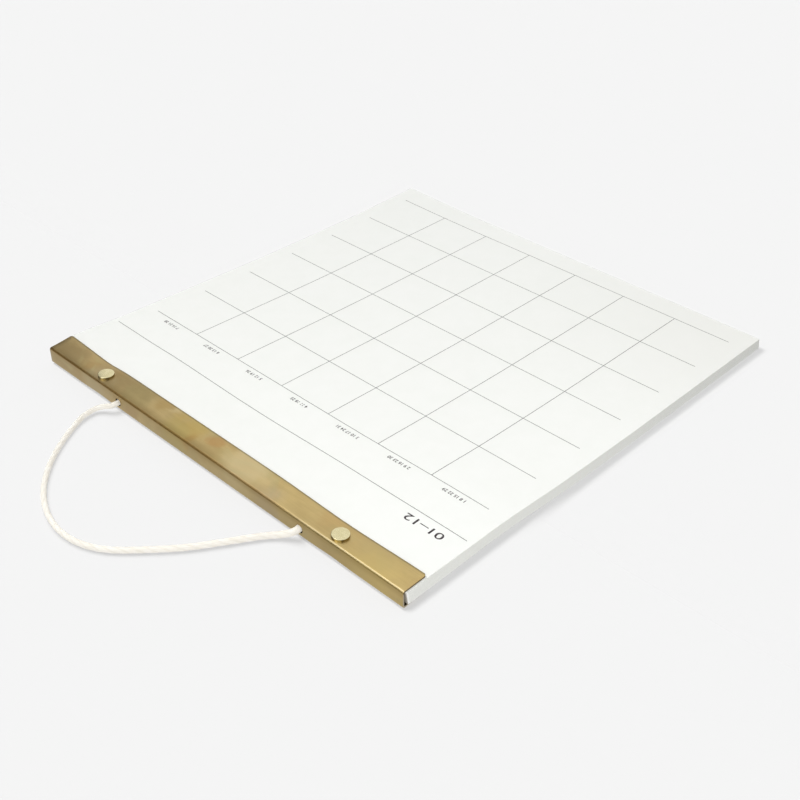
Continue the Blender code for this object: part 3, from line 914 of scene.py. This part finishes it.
# Brass bar: a flat blank folded twice into a channel
bar = {
    "cornerRadius": 1.8 * mm,
    "cornerSteps": 10,
    "bendSteps": 14,
    "stations": 72,           # cuts along the length, for the bent flange
    "flangeCuts": (0.2, 0.4, 0.6, 0.8),    # shares of its depth
    "edgeBreak": 0.14 * mm,
    "edgeSteps": 3,
    "edgeAngle": 60,          # degrees; sharper edges than this are filed
    "cordHole": 2.5 * mm,     # radius
    "drilled": (-1 * mm, 15 * mm),    # from and to, for the screw holes
    "cordDrillReach": 2 * mm,
    "sag": 0.9 * mm,          # the back wall reaches below the lower flange, which the screws pull up
    "sagAtScrew": 0.4 * mm,
    "sagReach": 9 * mm,
    "pulledFrom": 0.35,       # share of the lower flange's depth that the screws hold up
    "tones": {
        # The +X end's darker tones are partly tarnish and partly painted shade for the darker room that
        # it mirrors
        "clean": ((0.632, 0.480, 0.212), (0.550, 0.418, 0.200)),    # at the -X end and at the +X end
        "dull": ((0.545, 0.405, 0.176), (0.405, 0.298, 0.138)),
        "warm": (0.47, 0.31, 0.115),
        "pale": (0.72, 0.58, 0.30),
        "olive": (0.50, 0.43, 0.205),
        "grain": (0.40, 0.285, 0.11),
        # Painted light from here to the free side: shade on the back wall, under and along the fold, a
        # highlight and a dark line on the fold, shade at the free side
        "wall": (0.17, 0.12, 0.035),
        "underFoldShade": (0.24, 0.155, 0.035),
        "alongFoldShade": (0.21, 0.145, 0.045),
        "foldHighlight": (0.86, 0.78, 0.58),
        "fold": (0.30, 0.155, 0.035),
        "freeEdgeShade": (0.13, 0.10, 0.05),
        "cutEdge": ((0.48, 0.42, 0.33), (0.15, 0.115, 0.07)),    # low down and on the upper flange
        # painted shade inside the channel
        "inside": (0.035, 0.03, 0.02),
    },
    "stainWobble": (26, 16),    # in mm, along and across: how far the stains' outlines wander
    # Stains: place and radius in mm, strength, colour
    "stains": (
        ((24, 153, 12), 17, 0.55, (0.58, 0.42, 0.12)),
        ((-26, 152, 12), 24, 0.50, (0.77, 0.64, 0.37)),
        ((50, 149, 12), 10, 0.55, (0.46, 0.31, 0.11)),
        ((17, 158, 12), 8, 0.60, (0.47, 0.29, 0.10)),
        ((2, 150, 12), 6, 0.60, (0.52, 0.30, 0.11)),
        ((40, 150, 12), 5, 0.35, (0.72, 0.60, 0.34)),
        ((72, 154, 12), 15, 0.40, (0.36, 0.30, 0.13)),
        ((-88, 148, 12), 11, 0.40, (0.56, 0.37, 0.15)),
        ((-124, 152, 12), 19, 0.45, (0.46, 0.36, 0.20)),
        ((-52, 162, 6), 15, 0.45, (0.52, 0.42, 0.29)),
        ((66, 162, 6), 9, 0.55, (0.42, 0.28, 0.13)),
        ((30, 162, 6), 14, 0.45, (0.48, 0.39, 0.15)),
        ((104, 162, 7), 18, 0.40, (0.52, 0.45, 0.28)),
        ((-128, 162, 5), 26, 0.55, (0.68, 0.52, 0.19)),
    ),
}


def wallSag(x):
    nearScrew = math.exp(-((abs(x) - screwX) / bar["sagReach"]) ** 2)
    return bar["sag"] + (bar["sagAtScrew"] - bar["sag"]) * nearScrew


def makeBar(material):
    radius = clamp["insideBend"] + clamp["sheet"] / 2
    outer = clamp["insideBend"] + clamp["sheet"]
    arc = radius * math.pi / 2
    flange = barHigh.y - barLow.y - outer
    web = barHigh.z - barLow.z - 2 * outer
    foldY = barHigh.y - outer
    lowZ, highZ = barLow.z + outer, barHigh.z - outer
    depth = 2 * flange + 2 * arc + web
    length = barHigh.x - barLow.x

    def folded(x, distance):    # where a point of the blank lands, measured along its mid-plane
        sag = wallSag(x)
        if distance <= flange:
            pulled = easeIn((distance / flange - bar["pulledFrom"]) / (1 - bar["pulledFrom"]))
            return x, barLow.y + distance, lowZ - radius - sag * pulled
        if distance <= flange + arc:
            turn = (distance - flange) / radius
            return x, foldY + radius * math.sin(turn), lowZ - sag - radius * math.cos(turn)
        if distance <= flange + arc + web:
            share = (distance - flange - arc) / web
            return x, foldY + radius, lowZ - sag + (web + sag) * share
        if distance <= flange + 2 * arc + web:
            turn = (distance - flange - arc - web) / radius
            return x, foldY + radius * math.cos(turn), highZ + radius * math.sin(turn)
        y = foldY - (distance - flange - 2 * arc - web)
        return x, y, highZ + radius + clampLift(x, y)

    bm = bmesh.new()
    bmesh.ops.create_grid(bm, x_segments=1, y_segments=1, size=0.5)
    bmesh.ops.scale(bm, verts=bm.verts, vec=(length, depth, 1))
    bmesh.ops.translate(bm, verts=bm.verts, vec=(0, depth / 2, 0))
    bmesh.ops.bevel(
        bm, geom=bm.verts, offset=bar["cornerRadius"], segments=bar["cornerSteps"], profile=0.5,
        affect="VERTICES", offset_type="OFFSET",
    )
    stations, steps = bar["stations"], bar["bendSteps"]
    cuts = [((length * (cut / stations - 0.5), 0, 0), (1, 0, 0)) for cut in range(1, stations)]
    lengthwise = [flange * share for share in bar["flangeCuts"]]
    lengthwise += [depth - distance for distance in lengthwise]
    for start in (flange, flange + arc + web):
        lengthwise += [start + arc * step / steps for step in range(steps + 1)]
    cuts += [((0, distance, 0), (0, 1, 0)) for distance in lengthwise]
    for place, normal in cuts:
        bmesh.ops.bisect_plane(
            bm, geom=bm.verts[:] + bm.edges[:] + bm.faces[:], dist=0.001 * mm, plane_co=place,
            plane_no=normal,
        )
    for vert in bm.verts:
        vert.co = folded(vert.co.x, vert.co.y)
    bmesh.ops.recalc_face_normals(bm, faces=bm.faces)
    obj = newObject("brassBar", meshFrom(bm, "brassBar"), material)
    shell = obj.modifiers.new("sheet", "SOLIDIFY")
    shell.thickness = clamp["sheet"]
    shell.offset = 0
    shell.use_even_offset = True
    edge = obj.modifiers.new("filed edge", "BEVEL")
    edge.width = bar["edgeBreak"]
    edge.segments = bar["edgeSteps"]
    edge.limit_method = "ANGLE"
    edge.angle_limit = math.radians(bar["edgeAngle"])
    obj = bakeDown(obj)
    cutters = []
    bottom, top = bar["drilled"]
    front, back = barHigh.y - bar["cordDrillReach"], barHigh.y + bar["cordDrillReach"]
    for sign in (-1, 1):
        x = sign * screwX
        cutters.append(roundCutter(
            f"drill{sign}", pad["screwHole"], (x, screwY, bottom), (x, screwY, top)
        ))
        x, z = sign * cord["hole"][0] + cord["holeShift"], cord["hole"][1]
        cutters.append(roundCutter(f"cordDrill{sign}", bar["cordHole"], (x, front, z), (x, back, z)))
    obj = cutAway(obj, cutters)
    smoothBy(obj, degrees=32)
    return obj


def satinBrassFinish():
    material, graph, shader = newFinish("satinBrass", Metallic=1.0)
    tones = bar["tones"]
    place = graph.coords()
    x, y, z = graph.split(place)
    facingX, facingY, facingZ = graph.split(graph.normal())
    # partly tarnish, partly painted shade: the +X end mirrors a darker room
    tarnishAndShade = graph.ramp(x, -70 * mm, 130 * mm)    # the +X end has tarnished more
    cloud = graph.noise(graph.coords((0.5, 1, 1)), 55, 4, 0.62)
    patch = graph.noise(graph.coords((0.55, 1, 0.8)), 26, 3, 0.55)
    swirl = graph.add("ShaderNodeTexNoise", inputs={
        "Vector": graph.coords((1, 1.4, 1)), "Scale": 30, "Detail": 2, "Distortion": 1.6,
    })
    clean = graph.blend(tarnishAndShade, *tones["clean"])
    dull = graph.blend(tarnishAndShade, *tones["dull"])
    color = graph.blend(graph.ramp(cloud, 0.36, 0.66), dull, clean)
    warm = graph.ramp(patch, 0.50, 0.70) * (0.45 + tarnishAndShade * 0.25)
    color = graph.blend(warm, color, tones["warm"])
    color = graph.blend(graph.ramp(patch * -1, -0.46, -0.30) * 0.5, color, tones["pale"])
    color = graph.blend(graph.ramp(swirl, 0.54, 0.70) * 0.48, color, tones["olive"])
    grain = graph.noise(graph.coords((9, 2600, 2600)), 1, 3, 0.6)
    color = graph.blend(graph.ramp(grain, 0.38, 0.8) * 0.3, color, tones["grain"])
    # Stains. The noise that moves their outlines is 0.5 on average, so half of it moves their middles
    wobbleX, wobbleY = bar["stainWobble"]
    wobble = graph.add(
        "ShaderNodeTexNoise", inputs={"Vector": place, "Scale": 70, "Detail": 4}, out="Color"
    )
    moved = graph.add(
        "ShaderNodeVectorMath", {"operation": "MULTIPLY_ADD"},
        {0: wobble, 1: (wobbleX * mm, wobbleY * mm, 0), 2: place},
    )
    for middle, size, strength, tone in bar["stains"]:
        middle = ((middle[0] + wobbleX / 2) * mm, (middle[1] + wobbleY / 2) * mm, middle[2] * mm)
        away = graph.add(
            "ShaderNodeVectorMath", {"operation": "DISTANCE"}, {0: moved, 1: middle}, out="Value"
        )
        stain = (1 - graph.ramp(away, size * 0.3 * mm, size * mm)) * strength
        color = graph.blend(stain, color, tone)
    # The back wall is painted darker than the face, most of all under the fold: painted shade for the
    # darker things that it mirrors
    wall = graph.ramp(facingY, 0.5, 0.95)
    lessWallShade = 1 - graph.ramp(x, -150 * mm, -95 * mm)
    color = graph.blend(wall * (0.40 - tarnishAndShade * 0.26 - lessWallShade * 0.16), color, tones["wall"])
    underFoldShade = wall * graph.ramp(z, 6.5 * mm, 10.2 * mm) * (1 - tarnishAndShade * 0.6)
    color = graph.blend(underFoldShade * 0.32, color, tones["underFoldShade"])
    # The face is painted darker along the fold, except at the -X end: painted shade
    alongFoldShade = graph.ramp(y, barHigh.y - 6.5 * mm, barHigh.y - 1.2 * mm)
    alongFoldShade = alongFoldShade * graph.ramp(facingZ, 0.3, 0.6) * graph.ramp(x, -70 * mm, 20 * mm)
    color = graph.blend(alongFoldShade * 0.36, color, tones["alongFoldShade"])
    # The fold itself is painted bright at the -X end and dark brown along the rest: a painted highlight
    # and a painted dark reflection
    bend = graph.ramp(facingY * facingZ, 0.12, 0.42)
    foldHighlight = graph.ramp(facingZ, 0.7, 0.88) * bend * (1 - graph.ramp(x, -100 * mm, -60 * mm))
    color = graph.blend(foldHighlight * 0.4, color, tones["foldHighlight"])
    color = graph.blend(bend * graph.ramp(x, -85 * mm, -40 * mm) * 0.5, color, tones["fold"])
    # Its free side is painted dark, painted shade where it meets the paper; the cut edges are dark too,
    # most of all on the upper flange
    freeEdgeShade = 1 - graph.ramp(y, barLow.y + 0.3 * mm, barLow.y + 1.5 * mm)
    color = graph.blend(freeEdgeShade * 0.60, color, tones["freeEdgeShade"])
    edges = graph.ramp(abs(facingX), 0.35, 0.8).apply("MAXIMUM", graph.ramp(facingY * -1, 0.25, 0.7))
    edgeTone = graph.blend(graph.ramp(z, 9.5 * mm, 10.8 * mm), *tones["cutEdge"])
    color = graph.blend(edges * 0.85, color, edgeTone)
    # The inside is painted dark, painted shade: the lower flange's upper face and the back wall's inner
    # one
    floorInsideShade = graph.ramp(facingZ, 0.3, 0.7) * (1 - graph.ramp(z, 3.5 * mm, 5 * mm))
    wallInside = graph.ramp(facingY * -1, 0.3, 0.7) * graph.ramp(y, 150 * mm, 155 * mm)
    color = graph.blend((floorInsideShade + wallInside) * 0.9, color, tones["inside"])
    scratch = graph.noise(graph.coords((26, 900, 900)), 1, 4, 0.7)
    waves = bumped(graph, graph.noise(graph.coords((0.6, 1, 1)), 30, 2), 0.45, 0.5 * mm)
    wire(
        graph, shader, Base_Color=color,
        Roughness=0.25 + grain * 0.16 + cloud * 0.08 + edges * 0.3 + bend * 0.02,
        Normal=bumped(graph, (grain + scratch * 0.5) * (1 - edges), 0.14, 0.03 * mm, waves),
    )
    return material


satinBrass = satinBrassFinish()
brassBar = makeBar(satinBrass)
finishPiece(brassBar, "satin_brass", "header_bar")

# Binding screws: a hollow post with a plain disc on the face, and a slotted screw in it from behind
screw = {
    "head": 1.5 * mm,
    "backHead": 1.3 * mm,
    "rounding": 0.28 * mm,
    "roundingSteps": 6,
    "barrel": 2.5 * mm,       # this radius and the next two
    "bore": 1.9 * mm,
    "shank": 1.6 * mm,
    "shankLength": 6.0 * mm,
    "tipRoom": 0.3 * mm,      # between the shank's tip and the end of the bore
    "chamfer": 0.3 * mm,
    "slotWidth": 1.2 * mm,
    "slotDepth": 0.8 * mm,
    "steps": 96,
    "tones": {
        "disc": ((0.755, 0.675, 0.39), (0.835, 0.755, 0.465)),
        # The rim's tone is a painted dark reflection and the glint a painted highlight
        "rim": (0.26, 0.195, 0.075),
        "glint": (0.96, 0.86, 0.50),
    },
    "glintSide": (-0.5, 0.866, 0),    # the way that the bright part of the rim faces
}


def turned(name, profile, place, material):    # spins (radius, height) points, listed top down
    bm = bmesh.new()
    verts = [bm.verts.new((radius, 0, height)) for radius, height in profile]
    for above, below in zip(verts, verts[1:]):
        bm.edges.new((above, below))
    obj = newObject(name, meshFrom(bm, name), material)
    obj.location = place
    lathe = obj.modifiers.new("lathe", "SCREW")
    lathe.axis = "Z"
    lathe.steps = screw["steps"]
    lathe.render_steps = screw["steps"]
    lathe.use_merge_vertices = True
    lathe.merge_threshold = 0.001 * mm
    obj = bakeDown(obj)
    smoothBy(obj, degrees=35)
    return obj


def headRim(radius, topZ):    # rounded outer edge, from the flat of the disc down to its rim
    points = []
    for step in range(screw["roundingSteps"] + 1):
        angle = math.pi / 2 * (1 - step / screw["roundingSteps"])
        points.append((
            radius - screw["rounding"] * (1 - math.cos(angle)),
            topZ - screw["rounding"] * (1 - math.sin(angle)),
        ))
    return points


def makePost(side, material):
    low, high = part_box(f"screw_post_{side}")
    radius = (high.x - low.x) / 2
    place = ((low.x + high.x) / 2, (low.y + high.y) / 2, 0)
    seat = barHigh.z + clampLift(place[0], place[1])    # on the flange, as it is bent there
    topZ = seat + screw["head"]
    deep = screw["head"] + screw["shankLength"] + screw["tipRoom"]
    profile = [(0, topZ), *headRim(radius, topZ), (radius, seat), (screw["barrel"], seat)]
    profile += [(screw["barrel"], low.z), (screw["bore"], low.z), (screw["bore"], deep)]
    profile.append((0, deep + screw["bore"]))
    return turned(f"{side}Post", profile, place, material)


def makeBackScrew(side, material):
    low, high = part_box(f"binding_screw_{side}")
    radius = (high.x - low.x) / 2
    rim = [(rimRadius, -height) for rimRadius, height in reversed(headRim(radius, 0))]
    tip, shank, chamfer = high.z, screw["shank"], screw["chamfer"]
    profile = [(0, tip), (shank - chamfer, tip), (shank, tip - chamfer)]
    profile += [(shank, screw["backHead"]), (radius, screw["backHead"]), *rim, (0, 0)]
    place = ((low.x + high.x) / 2, (low.y + high.y) / 2, 0)
    obj = turned(f"{side}Screw", profile, place, material)
    bm = bmesh.new()
    bmesh.ops.create_cube(bm, size=1)
    bmesh.ops.scale(bm, verts=bm.verts, vec=(3 * radius, screw["slotWidth"], 2 * screw["slotDepth"]))
    bmesh.ops.translate(bm, verts=bm.verts, vec=place)
    obj = cutAway(obj, [newObject("slot", meshFrom(bm, "slot"))])
    smoothBy(obj, degrees=35)
    return obj


def brightBrassFinish():
    material, graph, shader = newFinish("polishedBrass", Metallic=1.0)
    tones = screw["tones"]
    cloud = graph.noise(graph.coords(), 420, 3, 0.6)
    color = graph.blend(graph.ramp(cloud, 0.3, 0.75), *tones["disc"])
    # The rim is painted dark, a painted dark reflection, but for one painted highlight
    normal = graph.normal()
    rim = 1 - graph.ramp(abs(graph.split(normal)[2]), 0.25, 0.6)
    color = graph.blend(rim * 0.85, color, tones["rim"])
    glint = graph.add(
        "ShaderNodeVectorMath", {"operation": "DOT_PRODUCT"}, {0: normal, 1: screw["glintSide"]},
        out="Value",
    )
    color = graph.blend(rim * graph.ramp(glint, 0.90, 0.985) * 0.9, color, tones["glint"])
    rub = graph.noise(graph.coords((1, 1, 0.2)), 520, 3, 0.55)
    wire(
        graph, shader, Base_Color=color, Roughness=0.16 + rub * 0.12,
        Normal=bumped(graph, rub, 0.01, 0.02 * mm),
    )
    return material


brightBrass = brightBrassFinish()
for side in ("left", "right"):
    finishPiece(makePost(side, brightBrass), "bright_brass", f"screw_post_{side}")
    finishPiece(makeBackScrew(side, brightBrass), "bright_brass", f"binding_screw_{side}")

# Studio: pale floor, white dome, a soft lamp from the +X side and a fill from the camera's side
studio = {
    "pale": 0.913,               # the background, as the camera sees it
    "floorBounce": 0.85,         # the floor's light on the calendar
    "floorMirrored": 0.86,       # how bright the metal mirrors the floor
    "floorSize": 12,             # metres
    "floorTone": 0.14,
    "dome": 0.61,
    # Lamps for the floor alone: share of its brightness, elevation, azimuth from +X, angle
    "nearShade": (0.27, 75, 27, 19),
    "farShade": (0.25, 56, 29, 22),
    "cordShade": (0.29, 60, -8, 50),
    "shadeChange": (20 * mm, 90 * mm),    # along Y, from the far shadow to the near one
    "floorGap": 0.05 * mm,       # between the two floors
    "keyStrength": 1.09,
    "keyElevation": 47,          # degrees
    "keyAzimuth": -10,
    "keyAngle": 30,
    "fillPlace": (-0.52, 0.72, 0.80),
    "fillSize": 0.6,
    "fillPower": 4.6,
    # What the metal mirrors of the room, in degrees round from +X and up: from, to, low, high, value
    "mirrored": (
        (-24, 48, -5, 50, 0.14),
        (48, 100, -5, 24, 0.10),
        (-25, 50, 54, 76, 3.0),
        (49, 88, 29, 53, 2.0),
        (105, 178, -5, 50, 0.40),
        (127, 134, -5, 50, 1.6),
    ),
    "softness": 7,               # degrees
}


def makeWorld():
    world = bpy.data.worlds.new("dome")
    bpy.context.scene.world = world
    world.use_nodes = True
    world.node_tree.nodes.clear()
    graph = Graph(world.node_tree)
    camera = graph.add("ShaderNodeLightPath", out="Is Camera Ray")
    glossy = camera.other("Is Glossy Ray")
    x, y, z = graph.split(graph.add("ShaderNodeTexCoord", out="Generated"))
    azimuth = y.apply("ARCTAN2", x) * math.degrees(1)
    height = z.apply("ARCSINE") * math.degrees(1)

    def between(value, start, end, soft):
        begun = graph.ramp(value, start - soft, start + soft)
        return begun * (1 - graph.ramp(value, end - soft, end + soft))

    mirrored = studio["pale"]
    for start, end, low, high, value in studio["mirrored"]:
        soft = min(studio["softness"], (end - start) / 2) / 2
        inside = between(azimuth, start, end, soft) * between(height, low, high, soft)
        mirrored = mirrored * (1 - inside) + inside * value
    strength = glossy * mirrored + (1 - glossy) * studio["dome"]
    strength = camera * studio["pale"] + (1 - camera) * strength
    shade = graph.add("ShaderNodeBackground", inputs={"Color": (1, 1, 1, 1), "Strength": strength})
    out = graph.tree.nodes.new("ShaderNodeOutputWorld")
    plug(graph.tree, out.inputs["Surface"], shade)


def makeFloor(name, shadeName, height=0.0):    # mostly lit by itself, so that its shadows stay pale
    bm = bmesh.new()
    bmesh.ops.create_grid(bm, x_segments=1, y_segments=1, size=studio["floorSize"] / 2)
    bmesh.ops.translate(bm, verts=bm.verts, vec=(0, 0, height))
    material = bpy.data.materials.new(name)
    material.use_nodes = True
    material.node_tree.nodes.clear()
    graph = Graph(material.node_tree)

    def glow(strength):
        return graph.add("ShaderNodeEmission", inputs={"Color": (1, 1, 1, 1), "Strength": strength})

    tone = studio["floorTone"]
    shaded = tone * studio["dome"] + studio[shadeName][0] + studio["cordShade"][0]
    lit = graph.add("ShaderNodeBsdfDiffuse", inputs={"Color": (tone, tone, tone, 1)})
    seen = graph.add("ShaderNodeAddShader", inputs={0: glow(studio["pale"] - shaded), 1: lit})
    rays = graph.add("ShaderNodeLightPath", out="Is Glossy Ray")
    dim = graph.add("ShaderNodeMixShader", inputs={
        0: rays, 1: glow(studio["floorBounce"]), 2: glow(studio["floorMirrored"]),
    })
    surface = graph.add("ShaderNodeMixShader", inputs={0: rays.other("Is Camera Ray"), 1: dim, 2: seen})
    if shadeName == "nearShade":    # shown near the bar, and clear further out
        y = graph.split(graph.coords())[1]
        surface = graph.add("ShaderNodeMixShader", inputs={
            0: graph.ramp(y, *studio["shadeChange"]), 1: graph.add("ShaderNodeBsdfTransparent"),
            2: surface,
        })
    out = graph.tree.nodes.new("ShaderNodeOutputMaterial")
    plug(graph.tree, out.inputs["Surface"], surface)
    floor = newObject(name, meshFrom(bm, name), material)
    return floor


def gathered(name, objects):
    group = bpy.data.collections.new(name)
    for obj in objects:
        group.objects.link(obj)
    return group


def makeSun(name, strength, elevation, azimuth, angle):
    lamp = bpy.data.lights.new(name, "SUN")
    lamp.energy = strength
    lamp.angle = math.radians(angle)
    elevation, azimuth = math.radians(elevation), math.radians(azimuth)
    flat = math.cos(elevation)
    towards = Vector((flat * math.cos(azimuth), flat * math.sin(azimuth), math.sin(elevation)))
    obj = newObject(name, lamp)
    obj.rotation_euler = towards.to_track_quat("Z", "Y").to_euler()
    return obj


def makeLamps(pieces, nearFloor, farFloor):
    lit = gathered("calendar", pieces)
    key = makeSun(
        "key", studio["keyStrength"], studio["keyElevation"], studio["keyAzimuth"], studio["keyAngle"]
    )
    disk = bpy.data.lights.new("fill", "AREA")
    disk.energy = studio["fillPower"]
    disk.shape = "DISK"
    disk.size = studio["fillSize"]
    fill = newObject("fill", disk)
    fill.location = studio["fillPlace"]
    fill.rotation_euler = Vector(studio["fillPlace"]).to_track_quat("Z", "Y").to_euler()
    for lamp in (key, fill):
        lamp.light_linking.receiver_collection = lit
        lamp.visible_glossy = False    # the metal mirrors the room alone
    # The floor has its own lamps: two that the pad and the bar shade, and one that the cord shades
    cords = [piece for piece in pieces if piece.name == "hangCord"]
    others = [piece for piece in pieces if piece.name != "hangCord"]
    for name, floors, shading in (
        ("nearShade", [nearFloor], others), ("farShade", [farFloor], others),
        ("cordShade", [nearFloor, farFloor], cords),
    ):
        share, elevation, azimuth, angle = studio[name]
        # A sun of strength 1 lights a floor of tone 1 to sin(elevation) / pi
        strength = share * math.pi / (studio["floorTone"] * math.sin(math.radians(elevation)))
        lamp = makeSun(name, strength, elevation, azimuth, angle)
        lamp.visible_glossy = False
        lamp.light_linking.receiver_collection = gathered(f"{name} lights", floors)
        lamp.light_linking.blocker_collection = gathered(f"{name} is blocked by", shading)


makeWorld()
# The near floor is for the camera alone: all other rays pass it and meet the far one under it
nearFloor = makeFloor("nearFloor", "nearShade")
for rays in ("diffuse", "glossy", "transmission", "volume_scatter", "shadow"):
    setattr(nearFloor, f"visible_{rays}", False)
farFloor = makeFloor("farFloor", "farShade", -studio["floorGap"])
makeLamps([obj for obj in bpy.data.objects if "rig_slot" in obj], nearFloor, farFloor)
bpy.context.scene.view_settings.view_transform = "Standard"
print("studio set")
